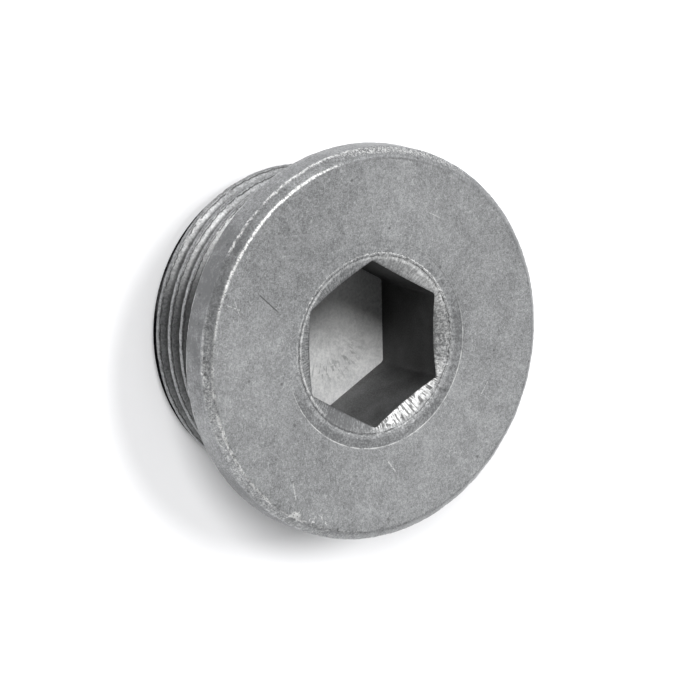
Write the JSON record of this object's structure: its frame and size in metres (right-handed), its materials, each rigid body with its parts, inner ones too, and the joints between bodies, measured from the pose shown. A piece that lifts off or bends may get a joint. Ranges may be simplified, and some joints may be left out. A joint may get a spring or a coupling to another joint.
{
  "type": "screw plug",
  "caption": "Round steel screw plug with a collar, a parallel fine thread and a hexagon socket, for closing a threaded port.",
  "frame": {"origin": "centre of the plug's threaded end, which it stands on", "axes": "+Z along the plug's axis, out of the socket; two corners of the hexagon lie on the X axis"},
  "size_m": [0.027, 0.027, 0.013],
  "materials": {
    "steel": "tumbled matt grey steel, worn bright on its edges"
  },
  "bodies": {
    "root": {"screw_plug": "steel"}
  },
  "joints": []
}
